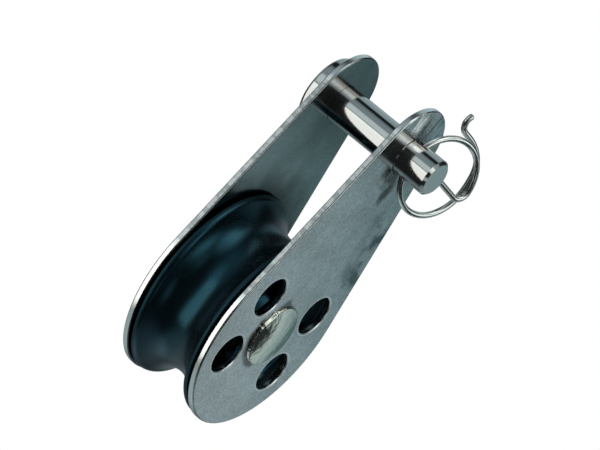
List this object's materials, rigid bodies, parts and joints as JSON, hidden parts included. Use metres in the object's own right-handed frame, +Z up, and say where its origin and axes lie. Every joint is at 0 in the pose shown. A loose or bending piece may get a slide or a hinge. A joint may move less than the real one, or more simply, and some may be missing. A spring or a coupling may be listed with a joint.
{
  "type": "pulley block",
  "caption": "Small single-sheave rigging block: riveted pear-shaped steel cheeks, a round-grooved sheave and a clevis pin kept by a wire ring.",
  "frame": {"origin": "on the clevis pin's axis, midway between the two cheeks", "axes": "+Z up as the block hangs from its clevis pin, +Y along the pin towards its head, +X across the cheeks"},
  "size_m": [0.0272, 0.0198, 0.05],
  "materials": {
    "cheek_steel": "satin rolled stainless sheet, nearly mirror bright",
    "sheave_plastic": "moulded, smooth",
    "axle_steel": "peened heads, slightly rough",
    "pin_steel": "turned and polished",
    "ring_steel": "bright drawn wire"
  },
  "bodies": {
    "frame": {"front_cheek": "cheek_steel", "rear_cheek": "cheek_steel", "axle_sleeve": "axle_steel", "axle_rivet": "axle_steel"},
    "sheave": {"sheave": "sheave_plastic"},
    "clevis_pin": {"clevis_pin": "pin_steel"},
    "cotter_ring": {"cotter_ring": "ring_steel"}
  },
  "joints": [
    {"name": "sheave_spin", "type": "hinge", "parent": "frame", "child": "sheave", "pos_m": [0, 0, -0.0276], "axis": [0, 1, 0], "continuous": true},
    {"name": "pin_turn", "type": "hinge", "parent": "frame", "child": "clevis_pin", "pos_m": [0, 0, 0], "axis": [0, 1, 0], "continuous": true},
    {"name": "ring_swing", "type": "hinge", "parent": "clevis_pin", "child": "cotter_ring", "pos_m": [0, -0.00715, 0], "axis": [0, 0, 1], "range_deg": [-154, 19]}
  ]
}
